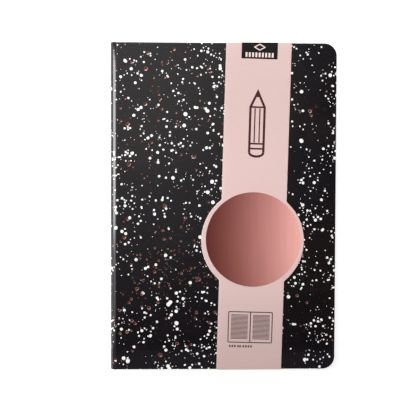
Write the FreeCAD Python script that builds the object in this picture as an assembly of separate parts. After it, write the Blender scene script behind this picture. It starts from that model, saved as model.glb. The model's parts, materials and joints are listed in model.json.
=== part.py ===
import FreeCAD, Part
import math
import os

# A5 hardcover (casebound) notebook planner, closed, lying on its back cover.
# X runs across the cover: the spine is at -X and the fore edge at +X.
# Y runs up the cover: the tail is at -Y and the head at +Y.
# Z is up. z = 0 is the outer face of the back cover.
# The origin is under the middle of the book. All sizes are in millimetres.

# ---------------------------------------------------------------- dimensions
cover_w = 145.0          # width over the spine and the fore edge
cover_h = 210.0          # height, tail to head
corner_r = 8.0           # rounded fore-edge corners of the covers
edge_r = 0.6             # rounding where the covering paper turns over a board

wrap_t = 0.2             # laminated covering paper
board_t = 2.0            # greyboard of the covers
paste_t = 0.15           # endpaper, glued half
fly_t = 0.15             # endpaper, free half
leaf_t = 0.1             # one page leaf, 80 g/m2
leaf_count = 96
band_t = 0.25            # card of the paper band
band_room = 0.35         # room under the front cover for the band's tucked flaps

turn_in = 15.0           # covering paper folded over on the inner faces
paste_inset = 3.0        # rim of covering paper left round the pastedown

square_head = 3.0        # how far the cover stands past the pages, head and tail
square_fore = 3.2        # the same at the fore edge
block_corner_r = 6.0

joint_x = -68.0          # spine-side edge of both boards
hinge_x = -71.0          # the line that each cover turns on
spine_bend_r = 4.5       # outer radius of the bend from a cover into the spine
spine_board_t = 1.2
spine_board_gap = 0.1    # room above and below the spine board
block_spine_x = -70.6    # glued face of the pages
lining_t = 0.3
lining_len = 184.0       # spine lining, along Y

band_w = 42.3            # paper band across its run
band_x0 = 19.6           # its middle line at y = 0
band_tilt = 1.556        # degrees, the head end leans to +X
band_flap = 35.0         # flap tucked under the cover at head and tail
disc_x, disc_y = 18.6, -21.55
disc_r = 33.1            # round bulge die-cut in the band
disc_neck_r = 1.2        # small rounding where the bulge meets the strip

bead_r = 0.65            # bead of the head and tail bands

# -------------------------------------------------------------- derived sizes
stack = wrap_t + board_t + wrap_t + paste_t        # a cover at the pastedown
block_t = leaf_count * leaf_t
z_fly0 = stack                                     # back flyleaf, lower face
z_blk0 = z_fly0 + fly_t
z_blk1 = z_blk0 + block_t
z_fly1 = z_blk1 + fly_t                            # front flyleaf, upper face
z_in = z_fly1 + band_room                          # inner face of the front cover
T = z_in + stack                                   # outer face of the front cover
x_fore = cover_w / 2.0
x_spine = -cover_w / 2.0
y_head = cover_h / 2.0
x_blk1 = x_fore - square_fore
y_blk = y_head - square_head
z_mid = T / 2.0

V = FreeCAD.Vector
os.makedirs("parts", exist_ok=True)


def box(x0, x1, y0, y1, z0, z1):
    return Part.makeBox(x1 - x0, y1 - y0, z1 - z0, V(x0, y0, z0))


def prism(pts, z0, z1):
    """Straight-sided prism on the polygon pts in XY."""
    w = Part.makePolygon([V(x, y, z0) for x, y in pts] + [V(pts[0][0], pts[0][1], z0)])
    return Part.Face(w).extrude(V(0, 0, z1 - z0))


def leaf(x0, x1, y, r, z0, z1):
    """Flat sheet with square corners at x0 and rounded ones at x1."""
    k = r * (1.0 - math.sqrt(0.5))
    e = [
        Part.LineSegment(V(x0, -y, z0), V(x1 - r, -y, z0)).toShape(),
        Part.Arc(V(x1 - r, -y, z0), V(x1 - k, -y + k, z0), V(x1, -y + r, z0)).toShape(),
        Part.LineSegment(V(x1, -y + r, z0), V(x1, y - r, z0)).toShape(),
        Part.Arc(V(x1, y - r, z0), V(x1 - k, y - k, z0), V(x1 - r, y, z0)).toShape(),
        Part.LineSegment(V(x1 - r, y, z0), V(x0, y, z0)).toShape(),
        Part.LineSegment(V(x0, y, z0), V(x0, -y, z0)).toShape(),
    ]
    return Part.Face(Part.Wire(e)).extrude(V(0, 0, z1 - z0))


def soften(solid, r, x_open):
    """Round the flat faces' rims, apart from the straight one at x_open."""
    zs = (solid.BoundBox.ZMin, solid.BoundBox.ZMax)
    edges = []
    for e in solid.Edges:
        b = e.BoundBox
        flat = b.ZLength < 1e-6 and min(abs(b.ZMin - z) for z in zs) < 1e-6
        at_open = b.XLength < 1e-6 and abs(b.XMin - x_open) < 1e-6
        if flat and not at_open:
            edges.append(e)
    return solid.makeFillet(r, edges)


def one_solid(shape, name):
    shape = shape.removeSplitter()
    solids = shape.Solids
    if len(solids) != 1:
        raise RuntimeError("%s has %d solids" % (name, len(solids)))
    s = solids[0]
    if not s.isValid():
        raise RuntimeError("%s is not valid" % name)
    return s


def flipped(shape):
    """The same piece for the back cover: mirrored about mid-thickness."""
    return shape.mirror(V(0, 0, z_mid), V(0, 0, 1))


parts = {}

# ---------------------------------------------------------------- front cover
zb0 = z_in + paste_t + wrap_t        # board, lower face
zb1 = zb0 + board_t
board = soften(leaf(joint_x, x_fore - wrap_t, y_head - wrap_t, corner_r - wrap_t, zb0, zb1),
               edge_r - wrap_t, joint_x)
parts["front_board"] = board

# Covering paper: one skin over the outer face, round the head, fore edge and
# tail, and 15 mm onto the inner face.
skin = soften(leaf(joint_x, x_fore, y_head, corner_r, zb0 - wrap_t, T), edge_r, joint_x)
skin = skin.cut(board)
window = box(joint_x - 1.0, x_fore - turn_in, -(y_head - turn_in), y_head - turn_in,
             zb0 - wrap_t - 1.0, zb0)
skin = skin.cut(window)
# At the head and tail the turn-in also climbs the board's spine-side edge.
for s in (-1.0, 1.0):
    y0, y1 = sorted((s * (y_head - turn_in), s * (y_head - edge_r)))
    skin = skin.fuse(box(joint_x - wrap_t, joint_x, y0, y1, zb0 - wrap_t, zb1 - 0.03))
parts["front_cover_wrap"] = skin

# Glued half of the endpaper: it lies on the turn-ins round its rim and steps
# down onto the bare board inside them.
px1 = x_fore - paste_inset
py = y_head - paste_inset
step_in = box(joint_x, x_fore - turn_in, -(y_head - turn_in), y_head - turn_in,
              z_in + paste_t, zb0)
paste = leaf(joint_x, px1, py, corner_r - paste_inset, z_in, z_in + paste_t).fuse(step_in)
well = box(joint_x, x_fore - turn_in - paste_t, -(y_head - turn_in - paste_t),
           y_head - turn_in - paste_t, z_in, zb0 - paste_t)
parts["front_pastedown"] = paste.cut(well)

# ----------------------------------------------------------------- back cover
parts["back_board"] = flipped(parts["front_board"])
parts["back_cover_wrap"] = flipped(parts["front_cover_wrap"])
parts["back_pastedown"] = flipped(parts["front_pastedown"])

# ------------------------------------------------------- pages and endpapers
parts["text_block"] = leaf(block_spine_x, x_blk1, y_blk, block_corner_r, z_blk0, z_blk1)
parts["front_flyleaf"] = leaf(block_spine_x, x_blk1, y_blk, block_corner_r, z_blk1, z_fly1)
parts["back_flyleaf"] = leaf(block_spine_x, x_blk1, y_blk, block_corner_r, z_fly0, z_blk0)

parts["spine_lining"] = box(block_spine_x - lining_t, block_spine_x,
                            -lining_len / 2.0, lining_len / 2.0, z_fly0, z_fly1)


def spine_band(s):
    """Woven tape on the end of the glued spine, with its bead on the pages."""
    y_in, y_out = lining_len / 2.0, y_blk + 0.02 + bead_r
    y0, y1 = sorted((s * y_in, s * y_out))
    tape = box(block_spine_x - lining_t, block_spine_x, y0, y1, z_blk0, z_blk1)
    bead = Part.makeCylinder(bead_r, block_t, V(block_spine_x + 0.5, s * y_out, z_blk0), V(0, 0, 1))
    return tape.fuse(bead)


parts["head_band"] = spine_band(1.0)
parts["tail_band"] = spine_band(-1.0)

# ---------------------------------------------------------------------- spine
zs0 = spine_bend_r                   # flat of the spine, lower and upper ends
zs1 = T - spine_bend_r
sb0 = zs0 + spine_board_gap
sb1 = zs1 - spine_board_gap
sb_x1 = x_spine + wrap_t + spine_board_t
parts["spine_board"] = box(x_spine + wrap_t, sb_x1, -(y_head - wrap_t), y_head - wrap_t, sb0, sb1)


def bend(r, upper, y):
    """Quarter arc of a cover-to-spine bend, from the joint line to the spine."""
    s = 1.0 if upper else -1.0
    zc = zs1 if upper else zs0
    c = math.sqrt(0.5)
    return Part.Arc(V(joint_x, y, zc + s * r), V(joint_x - c * r, y, zc + s * c * r),
                    V(joint_x - r, y, zc)).toShape()


def spine_layer(r_out, r_in, y0, y1):
    """Sheet that runs round both bends and down the flat of the spine."""
    def seg(x0, z0, x1, z1):
        return Part.LineSegment(V(x0, y0, z0), V(x1, y0, z1)).toShape()
    edges = [
        bend(r_out, True, y0),
        seg(joint_x - r_out, zs1, joint_x - r_out, zs0),
        bend(r_out, False, y0),
        seg(joint_x, zs0 - r_out, joint_x, zs0 - r_in),
        bend(r_in, False, y0),
        seg(joint_x - r_in, zs0, joint_x - r_in, zs1),
        bend(r_in, True, y0),
        seg(joint_x, zs1 + r_in, joint_x, zs1 + r_out),
    ]
    w = Part.Wire(Part.__sortEdges__(edges))
    return Part.Face(w).extrude(V(0, y1 - y0, 0))


r0 = spine_bend_r
r1 = r0 - wrap_t
r2 = r1 - wrap_t
outer = spine_layer(r0, r1, -y_head, y_head)
spine = outer
for s in (-1.0, 1.0):
    ya, yb = sorted((s * (y_head - turn_in), s * (y_head - wrap_t)))
    yc, yd = sorted((s * (y_head - wrap_t), s * y_head))
    for y0, y1 in ((ya, yb), (yc, yd)):
        inner = spine_layer(r1, r2, y0, y1)
        # the folded-over layer leaves the bends and lies on the spine board
        inner = inner.cut(box(x_spine, sb_x1, y0, y1, sb0, sb1))
        inner = inner.cut(box(joint_x - wrap_t, joint_x + 1.0, y0, y1, -1.0, T + 1.0))
        inner = inner.fuse(box(sb_x1, sb_x1 + wrap_t, y0, y1, sb0 - wrap_t, sb1 + wrap_t))
        inner = inner.fuse(box(x_spine + wrap_t, sb_x1, y0, y1, sb1, sb1 + wrap_t))
        inner = inner.fuse(box(x_spine + wrap_t, sb_x1, y0, y1, sb0 - wrap_t, sb0))
        spine = spine.fuse(inner)
    # the fold over the head or tail end of the spine board
    spine = spine.fuse(box(x_spine + wrap_t, sb_x1, yc, yd, sb0, sb1))
parts["spine_wrap"] = spine

# ----------------------------------------------------------------- paper band
slope = math.tan(math.radians(band_tilt))
half = band_w / 2.0 / math.cos(math.radians(band_tilt))
ye = y_head + band_t
strip = prism([(band_x0 - slope * ye - half, -ye), (band_x0 - slope * ye + half, -ye),
               (band_x0 + slope * ye + half, ye), (band_x0 + slope * ye - half, ye)],
              T, T + band_t)
disc = Part.makeCylinder(disc_r, band_t, V(disc_x, disc_y, T), V(0, 0, 1))
band = strip.fuse(disc).removeSplitter()
# small rounding in the four necks between the bulge and the strip
neck = []
for e in band.Edges:
    b = e.BoundBox
    if b.ZLength > band_t * 0.9 and b.XLength < 1e-6 and b.YLength < 1e-6:
        d = math.hypot(b.XMin - disc_x, b.YMin - disc_y)
        if abs(d - disc_r) < 0.01:
            neck.append(e)
band = band.makeFillet(disc_neck_r, neck)
for s in (-1.0, 1.0):
    xe = band_x0 + s * slope * ye
    y0, y1 = sorted((s * y_head, s * ye))
    band = band.fuse(box(xe - half, xe + half, y0, y1, z_in - band_t, T + band_t))
    yi = s * (y_head - band_flap)
    xi = xe + s * slope * band_flap
    taper = 3.0                      # the tucked flap narrows a little
    flap = prism([(xe - half, s * ye), (xe + half, s * ye),
                  (xi + half - taper, yi), (xi - half + taper, yi)], z_in - band_t, z_in)
    band = band.fuse(flap)
parts["paper_band"] = band

for name in parts:
    solid = one_solid(parts[name], name)
    parts[name] = solid
    solid.exportStep("parts/%s.step" % name)
    b = solid.BoundBox
    print("%-18s vol %9.1f  x %7.2f %7.2f  y %8.2f %8.2f  z %6.2f %6.2f" % (
        name, solid.Volume, b.XMin, b.XMax, b.YMin, b.YMax, b.ZMin, b.ZMax))
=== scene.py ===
import json
import math
import random

import bpy
import numpy as np
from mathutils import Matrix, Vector


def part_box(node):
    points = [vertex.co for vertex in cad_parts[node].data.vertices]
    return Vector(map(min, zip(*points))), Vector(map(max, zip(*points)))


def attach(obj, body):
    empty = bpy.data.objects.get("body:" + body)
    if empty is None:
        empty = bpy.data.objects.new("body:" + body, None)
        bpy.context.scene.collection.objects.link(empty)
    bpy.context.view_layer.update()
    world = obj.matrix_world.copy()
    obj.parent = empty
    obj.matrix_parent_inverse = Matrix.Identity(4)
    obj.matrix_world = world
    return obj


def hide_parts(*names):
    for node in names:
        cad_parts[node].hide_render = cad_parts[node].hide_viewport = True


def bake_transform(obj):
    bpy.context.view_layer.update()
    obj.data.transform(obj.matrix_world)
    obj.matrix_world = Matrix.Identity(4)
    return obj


# Closed A5 hardcover notebook planner with a pink paper band.
# Everything below is worked out in millimetres in the row frame and written in metres.
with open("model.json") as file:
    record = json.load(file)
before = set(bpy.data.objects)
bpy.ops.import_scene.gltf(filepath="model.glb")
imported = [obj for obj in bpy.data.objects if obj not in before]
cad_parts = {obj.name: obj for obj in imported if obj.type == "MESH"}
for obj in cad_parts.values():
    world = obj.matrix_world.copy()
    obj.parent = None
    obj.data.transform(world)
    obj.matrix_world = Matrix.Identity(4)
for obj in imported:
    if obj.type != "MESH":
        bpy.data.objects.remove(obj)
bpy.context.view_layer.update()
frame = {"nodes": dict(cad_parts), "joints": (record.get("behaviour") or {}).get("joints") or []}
MM = 0.001
scene = bpy.context.scene


def cad(node):
    lo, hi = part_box(node)
    return [c / MM for c in lo], [c / MM for c in hi]


# ------------------------------------------------------------- places from CAD
wrap_lo, wrap_hi = cad("front_cover_wrap")
board_lo, board_hi = cad("front_board")
paste_lo, paste_hi = cad("front_pastedown")
bpaste_lo, bpaste_hi = cad("back_pastedown")
fly_lo, fly_hi = cad("front_flyleaf")
bfly_lo, bfly_hi = cad("back_flyleaf")
block_lo, block_hi = cad("text_block")
spine_lo, spine_hi = cad("spine_wrap")
sboard_lo, sboard_hi = cad("spine_board")
band_lo, band_hi = cad("paper_band")
head_lo, head_hi = cad("head_band")
tail_lo, tail_hi = cad("tail_band")

T = wrap_hi[2]                    # outer face of the front cover
XJ = board_lo[0]                  # spine-side edge of the boards
XF = wrap_hi[0]                   # fore edge
YH = wrap_hi[1]                   # head edge
Z_TURN = wrap_lo[2]               # inner face of the front cover's turn-ins
XS = spine_lo[0]                  # outer face of the spine
R_BEND = XJ - XS                  # bend from a cover into the spine
ZS1 = T - R_BEND                  # the spine's flat, upper and lower ends
ZS0 = R_BEND
INK = 0.04                        # room for ink and foil over the covering paper
ZO = T - INK                      # covering paper's outer face
XO = XF - INK                     # and its fore edge and head edge
YO = YH - INK
RO = R_BEND - INK
CORNER = 8.0
EDGE = 0.6
SKIN = 0.155
AXIS = {j["name"]: [c / MM for c in j["pos_m"]] for j in frame["joints"]}
AF = AXIS["front_cover_hinge"]
AB = AXIS["back_cover_hinge"]


# --------------------------------------------------------------- mesh helpers
class Mesh:
    """Vertices in mm and faces with a material number."""

    def __init__(self):
        self.v, self.f, self.m = [], [], []
        self.n = {}

    def add(self, verts, faces, mat=0):
        k = len(self.v)
        self.v.extend([tuple(float(c) for c in p) for p in verts])
        self.f.extend([tuple(k + i for i in f) for f in faces])
        self.m.extend([mat] * len(faces) if isinstance(mat, int) else mat)
        return k

    def mirrored(self):
        """Mirrored about mid-thickness, for the back cover."""
        o = Mesh()
        o.v = [(x, y, T - z) for x, y, z in self.v]
        o.f = [tuple(reversed(f)) for f in self.f]
        o.m = list(self.m)
        return o

    def build(self, name, mats, sharp=35.0):
        me = bpy.data.meshes.new(name)
        me.from_pydata([(x * MM, y * MM, z * MM) for x, y, z in self.v], [], self.f)
        for m in mats:
            me.materials.append(m)
        me.polygons.foreach_set("material_index", self.m)
        me.update(calc_edges=True)
        me.validate()
        if sharp is None:
            me.polygons.foreach_set("use_smooth", [False] * len(me.polygons))
        else:
            me.polygons.foreach_set("use_smooth", [True] * len(me.polygons))
            mark_sharp(me, sharp)
        if self.n:
            corner = np.zeros(len(me.loops), int)
            me.loops.foreach_get("vertex_index", corner)
            me.normals_split_custom_set([self.n.get(int(k), (0.0, 0.0, 0.0)) for k in corner])
        ob = bpy.data.objects.new(name, me)
        scene.collection.objects.link(ob)
        return ob


def mark_sharp(me, angle):
    ne, npoly = len(me.edges), len(me.polygons)
    normals = np.zeros(npoly * 3)
    me.polygons.foreach_get("normal", normals)
    normals = normals.reshape(-1, 3)
    loops = np.zeros(len(me.loops), int)
    me.loops.foreach_get("edge_index", loops)
    starts = np.zeros(npoly, int)
    totals = np.zeros(npoly, int)
    me.polygons.foreach_get("loop_start", starts)
    me.polygons.foreach_get("loop_total", totals)
    owner = np.repeat(np.arange(npoly), totals)
    first = np.full(ne, -1)
    second = np.full(ne, -1)
    order = np.argsort(loops, kind="stable")
    e, p = loops[order], owner[order]
    new = np.r_[True, e[1:] != e[:-1]]
    first[e[new]] = p[new]
    nxt = np.r_[False, e[1:] == e[:-1]]
    second[e[nxt]] = p[nxt]
    both = (first >= 0) & (second >= 0)
    dots = np.ones(ne)
    dots[both] = (normals[first[both]] * normals[second[both]]).sum(1)
    flags = dots < math.cos(math.radians(angle))
    att = me.attributes.get("sharp_edge") or me.attributes.new("sharp_edge", "BOOLEAN", "EDGE")
    att.data.foreach_set("value", flags)


def grid_faces(n, m, close_n=False, close_m=False):
    """Quads on an n by m grid of points numbered i * m + j."""
    out = []
    for i in range(n if close_n else n - 1):
        for j in range(m if close_m else m - 1):
            a, b = i * m + j, i * m + (j + 1) % m
            c, d = ((i + 1) % n) * m + (j + 1) % m, ((i + 1) % n) * m + j
            out.append((a, d, c, b))
    return out


def prism(mesh, top, bottom, mat=0, side=None):
    """Closed prism: two matching rings, counter-clockwise seen from outside the top."""
    n = len(top)
    faces = [tuple(range(n)), tuple(range(2 * n - 1, n - 1, -1))]
    faces += [(n + i, n + (i + 1) % n, (i + 1) % n, i) for i in range(n)]
    mats = [mat, mat] + [mat if side is None else side] * n
    mesh.add(list(top) + list(bottom), faces, mats)


def place(ob, body, slot, *nodes):
    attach(ob, body)
    if nodes:
        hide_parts(*nodes)
    return ob


def smooth(t):
    t = min(1.0, max(0.0, t))
    return t * t * (3.0 - 2.0 * t)


# ------------------------------------------------------------------ materials
class Nodes:
    def __init__(self, name):
        self.mat = bpy.data.materials.new(name)
        self.mat.use_nodes = True
        self.t = self.mat.node_tree
        self.t.nodes.clear()
        self.out = self.t.nodes.new("ShaderNodeOutputMaterial")
        self.b = self.t.nodes.new("ShaderNodeBsdfPrincipled")
        self.t.links.new(self.b.outputs[0], self.out.inputs[0])
        self.co = self.t.nodes.new("ShaderNodeTexCoord").outputs["Object"]

    def new(self, kind, **props):
        n = self.t.nodes.new("ShaderNode" + kind)
        for k, v in props.items():
            setattr(n, k, v)
        return n

    def put(self, socket, value):
        if isinstance(value, bpy.types.NodeSocket):
            self.t.links.new(value, socket)
        elif isinstance(value, (tuple, list)) and len(value) == 3 and socket.type == "RGBA":
            socket.default_value = (*value, 1.0)
        else:
            socket.default_value = value

    def set(self, **values):
        for k, v in values.items():
            self.put(self.b.inputs[k.replace("_", " ")], v)

    def mapping(self, scale=(1, 1, 1), rot=(0, 0, 0), loc=(0, 0, 0), src=None):
        n = self.new("Mapping")
        self.put(n.inputs["Vector"], src or self.co)
        n.inputs["Location"].default_value = loc
        n.inputs["Rotation"].default_value = rot
        n.inputs["Scale"].default_value = scale
        return n.outputs[0]

    def noise(self, scale, detail=2.0, rough=0.5, src=None, distortion=0.0):
        n = self.new("TexNoise")
        self.put(n.inputs["Vector"], src or self.co)
        n.inputs["Scale"].default_value = scale
        n.inputs["Detail"].default_value = detail
        n.inputs["Roughness"].default_value = rough
        n.inputs["Distortion"].default_value = distortion
        return n.outputs[0]

    def voronoi(self, scale, src=None, feature="F1", random=1.0):
        n = self.new("TexVoronoi", feature=feature)
        self.put(n.inputs["Vector"], src or self.co)
        n.inputs["Scale"].default_value = scale
        n.inputs["Randomness"].default_value = random
        return n.outputs

    def math(self, op, a, b=0.0, c=0.0, clamp=False):
        n = self.new("Math", operation=op)
        n.use_clamp = clamp
        for s, v in zip(n.inputs, (a, b, c)):
            self.put(s, v)
        return n.outputs[0]

    def span(self, value, a, b, lo=0.0, hi=1.0, smooth=False):
        n = self.new("MapRange")
        n.interpolation_type = "SMOOTHSTEP" if smooth else "LINEAR"
        n.clamp = True
        for s, v in zip(n.inputs, (value, a, b, lo, hi)):
            self.put(s, v)
        return n.outputs[0]

    def mix(self, fac, a, b, blend="MIX"):
        n = self.new("Mix", data_type="RGBA", blend_type=blend)
        self.put(n.inputs[0], fac)
        self.put(n.inputs[6], a)
        self.put(n.inputs[7], b)
        return n.outputs[2]

    def ramp(self, fac, stops, interpolation="LINEAR"):
        n = self.new("ValToRGB")
        r = n.color_ramp
        r.interpolation = interpolation
        while len(r.elements) < len(stops):
            r.elements.new(0.5)
        for e, (p, c) in zip(r.elements, stops):
            e.position = p
            e.color = (*c, 1.0)
        self.put(n.inputs[0], fac)
        return n.outputs[0]

    def bump(self, height, distance, strength=1.0, normal=None):
        n = self.new("Bump")
        self.put(n.inputs["Height"], height)
        n.inputs["Distance"].default_value = distance
        n.inputs["Strength"].default_value = strength
        if normal is not None:
            self.put(n.inputs["Normal"], normal)
        return n.outputs[0]


def srgb(r, g, b):
    def f(c):
        c /= 255.0
        return c / 12.92 if c <= 0.04045 else ((c + 0.055) / 1.055) ** 2.4
    return (f(r), f(g), f(b))


def cover_material(name, r0, r1, ior=1.5):
    n = Nodes(name)
    tone = n.noise(700.0, 3.0, 0.6)
    base = n.mix(tone, (0.0033, 0.0021, 0.0034), (0.0050, 0.0037, 0.0052))
    # a warmer cast in broad soft patches, and the tail edge lightened: a painted sheen, the lamps' reflection along the
    # tail edge
    base = n.mix(n.span(n.noise(15.0, 1.0, 0.4), 0.50, 0.66, 0.0, 1.0, smooth=True), base, (0.0074, 0.0042, 0.0044))
    tail_sheen_at = n.new("SeparateXYZ")
    n.put(tail_sheen_at.inputs[0], n.co)
    # painted sheen: the black base colour is lifted towards the tail edge
    base = n.mix(n.span(tail_sheen_at.outputs[1], -0.0885, -0.0985, 0.0, 1.0, smooth=True), base, (0.0100, 0.0084, 0.0108))
    # very fine faint specks between the printed dots
    v = n.voronoi(560.0)
    near = n.span(v["Distance"], 0.10, 0.20, 1.0, 0.0, smooth=True)
    sep = n.new("SeparateColor")
    n.put(sep.inputs[0], v["Color"])
    there = n.span(sep.outputs[0], 0.52, 0.60)
    warm = n.mix(sep.outputs[1], (0.050, 0.032, 0.028), (0.040, 0.040, 0.043))
    base = n.mix(n.math("MULTIPLY", near, there), base, warm)
    grain = n.noise(2600.0, 2.0, 0.6)
    wave = n.noise(26.0, 2.0, 0.5)
    b1 = n.bump(wave, 0.00030, 0.6)
    b2 = n.bump(grain, 0.000006, 0.5, b1)
    n.set(Base_Color=base, Roughness=n.span(n.noise(90.0, 3.0, 0.6), 0.25, 0.75, r0, r1),
          Normal=b2)
    n.b.inputs["IOR"].default_value = ior
    return n.mat


def ink_material():
    n = Nodes("white_ink")
    base = n.mix(n.noise(1500.0, 2.0), (0.86, 0.86, 0.85), (0.95, 0.95, 0.94))
    n.set(Base_Color=base, Roughness=n.span(n.noise(600.0), 0.3, 0.7, 0.36, 0.5),
          Normal=n.bump(n.noise(3000.0), 0.000006, 0.5))
    return n.mat


def foil_material(name, stops, coat):
    n = Nodes(name)
    base = n.ramp(n.noise(260.0, 1.0), list(zip((0.3, 0.55, 0.75), stops)))
    n.set(Base_Color=base, Metallic=0.65, Roughness=n.span(n.noise(900.0), 0.3, 0.7, 0.16, 0.22),
          Normal=n.bump(n.noise(1800.0, 2.0), 0.000004, 0.5))
    n.b.inputs["Coat Weight"].default_value = coat
    n.b.inputs["Coat Roughness"].default_value = 0.13
    return n.mat


def card_material():
    n = Nodes("pink_coated_card")
    base = n.mix(n.noise(380.0, 4.0, 0.65), srgb(208, 179, 175), srgb(213, 184, 180))
    cloud = n.noise(22.0, 2.0)
    base = n.mix(n.span(cloud, 0.35, 0.65, 0.0, 0.25), base, srgb(216, 187, 183))
    # painted light: the card's colour is made brighter below the head and through the middle, darker towards the tail
    # and a little brighter towards the fore edge side, standing in for how the lamps fall on it
    sep = n.new("SeparateXYZ")
    n.put(sep.inputs[0], n.co)
    painted_light_rise = n.span(sep.outputs[1], 0.080, 0.010, 0.962, 1.075, smooth=True)
    tone = n.math("SUBTRACT", painted_light_rise, n.span(sep.outputs[1], -0.036, -0.096, 0.0, 0.178, smooth=True))
    tone = n.math("MULTIPLY", tone, n.span(sep.outputs[0], 0.008, 0.040, 1.0, 1.025))
    painted_light_gain = n.new("CombineColor")
    for socket in painted_light_gain.inputs[:3]:
        n.put(socket, tone)
    base = n.mix(1.0, base, painted_light_gain.outputs[0], "MULTIPLY")
    grain = n.noise(1700.0, 3.0, 0.6)
    n.set(Base_Color=base, Roughness=n.span(n.noise(500.0, 2.0), 0.3, 0.7, 0.40, 0.50),
          Normal=n.bump(grain, 0.000010, 0.45, n.bump(n.noise(34.0, 1.0), 0.0002, 0.4)))
    return n.mat


def card_edge_material():
    n = Nodes("card_cut_edge")
    stretch = n.mapping(scale=(1.0, 1.0, 9.0))
    base = n.mix(n.noise(1400.0, 3.0, src=stretch), srgb(226, 208, 204), srgb(246, 238, 234))
    n.set(Base_Color=base, Roughness=0.75, Normal=n.bump(n.noise(2500.0, src=stretch), 0.00002, 0.5))
    return n.mat


def disc_material(angle, centre, radius):
    """Brushed rose foil with a painted reflection: its colour runs from deep copper at the spine side to pale rose at
    the fore edge, standing in for the lamps' reflection.
    """
    n = Nodes("rose_foil_disc_painted_reflection")
    c, s = math.cos(angle), math.sin(angle)
    sep = n.new("SeparateXYZ")
    n.put(sep.inputs[0], n.co)
    # painted reflection: the dark-to-pale gradient across the disc is colour, while the slight metal and the brushing
    # reflect the lamps for real
    along = n.math("ADD", n.math("MULTIPLY", n.math("SUBTRACT", sep.outputs[0], centre[0] * MM), c),
                   n.math("MULTIPLY", n.math("SUBTRACT", sep.outputs[1], centre[1] * MM), -s))
    across = n.math("ADD", n.math("MULTIPLY", n.math("SUBTRACT", sep.outputs[0], centre[0] * MM), s),
                    n.math("MULTIPLY", n.math("SUBTRACT", sep.outputs[1], centre[1] * MM), c))
    bow = n.math("MULTIPLY", n.math("MULTIPLY", across, across), 3.4)
    painted_reflection_pos = n.span(n.math("SUBTRACT", along, bow), -radius * MM, radius * MM)
    painted_reflection_pos = n.math("SMOOTH_MIN", painted_reflection_pos, 0.955, 0.10)
    brushed = n.noise(900.0, 3.0, 0.6, src=n.mapping(scale=(1.0, 0.03, 1.0), rot=(0, 0, angle)))
    grey = n.span(brushed, 0.3, 0.7, 0.905, 1.005)
    base = n.new("CombineColor")
    for socket, low, painted_light_rise in zip(base.inputs, (0.356, 0.139, 0.118), (0.656, 0.590, 0.580)):
        tone = n.math("POWER", n.math("MULTIPLY_ADD", painted_reflection_pos, painted_light_rise, low), 2.2)
        n.put(socket, n.math("MINIMUM", n.math("MULTIPLY", tone, grey), 0.95))
    base = base.outputs[0]
    n.set(Base_Color=base, Metallic=0.12, Roughness=n.span(brushed, 0.3, 0.7, 0.32, 0.44),
          Normal=n.bump(brushed, 0.00001, 0.4))
    return n.mat


def print_material(name, a, b, rough, sheen=0.5):
    n = Nodes(name)
    base = n.mix(n.noise(800.0, 3.0, 0.6), a, b)
    n.set(Base_Color=base, Roughness=n.span(n.noise(400.0), 0.3, 0.7, rough - 0.04, rough + 0.06),
          Normal=n.bump(n.noise(1700.0, 3.0, 0.6), 0.000008, 0.4))
    n.b.inputs["Specular IOR Level"].default_value = sheen
    return n.mat


def paper_material(name, a, b, rough=0.8, fibre=900.0):
    n = Nodes(name)
    warped = n.mapping(scale=(1.0, 0.35, 1.0), rot=(0, 0, 0.5))
    fib = n.noise(fibre, 5.0, 0.7, src=warped, distortion=0.6)
    mott = n.noise(60.0, 3.0)
    base = n.mix(n.span(fib, 0.3, 0.7), a, b)
    base = n.mix(n.span(mott, 0.3, 0.7, 0.0, 0.3), base, tuple(x * 0.94 for x in a))
    n.set(Base_Color=base, Roughness=n.span(mott, 0.3, 0.7, rough - 0.05, rough + 0.05),
          Normal=n.bump(fib, 0.00002, 0.35))
    return n.mat


def page_material():
    n = Nodes("ruled_page_stock")
    fib = n.noise(1000.0, 4.0, 0.7)
    base = n.mix(n.span(fib, 0.3, 0.7), srgb(232, 228, 216), srgb(243, 240, 230))
    layer = n.noise(1.0, 4.0, 0.7, src=n.mapping(scale=(25.0, 25.0, 5200.0)))
    base = n.mix(n.span(layer, 0.35, 0.65, 0.0, 0.45), base, srgb(196, 188, 172))
    folds = n.noise(1.0, 2.0, 0.5, src=n.mapping(scale=(12.0, 12.0, 900.0)))
    base = n.mix(n.span(folds, 0.42, 0.62, 0.0, 0.30), base, srgb(206, 197, 180))
    n.set(Base_Color=base, Roughness=0.86, Normal=n.bump(layer, 0.00003, 0.5))
    return n.mat


def board_material():
    n = Nodes("greyboard")
    flat = n.mapping(scale=(1.0, 1.0, 4.0))
    fib = n.noise(700.0, 5.0, 0.75, src=flat)
    base = n.ramp(fib, [(0.30, srgb(128, 122, 114)), (0.52, srgb(153, 147, 138)), (0.72, srgb(176, 169, 158))])
    v = n.voronoi(520.0, src=flat)
    base = n.mix(n.span(v["Distance"], 0.05, 0.14, 0.5, 0.0), base, srgb(92, 86, 80))
    n.set(Base_Color=base, Roughness=0.92, Normal=n.bump(fib, 0.00006, 0.6))
    return n.mat


def gauze_material():
    n = Nodes("lining_gauze")
    weave = n.new("TexWave", wave_type="BANDS", bands_direction="Y", wave_profile="SIN")
    n.put(weave.inputs["Vector"], n.co)
    weave.inputs["Scale"].default_value = 380.0
    weave.inputs["Distortion"].default_value = 0.6
    weft = n.new("TexWave", wave_type="BANDS", bands_direction="Z", wave_profile="SIN")
    n.put(weft.inputs["Vector"], n.co)
    weft.inputs["Scale"].default_value = 380.0
    weft.inputs["Distortion"].default_value = 0.6
    threads = n.math("MAXIMUM", weave.outputs["Fac"], weft.outputs["Fac"])
    base = n.mix(n.span(threads, 0.35, 0.8), srgb(170, 156, 126), srgb(232, 227, 214))
    n.set(Base_Color=base, Roughness=0.85, Normal=n.bump(threads, 0.00008, 0.8))
    return n.mat


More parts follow.
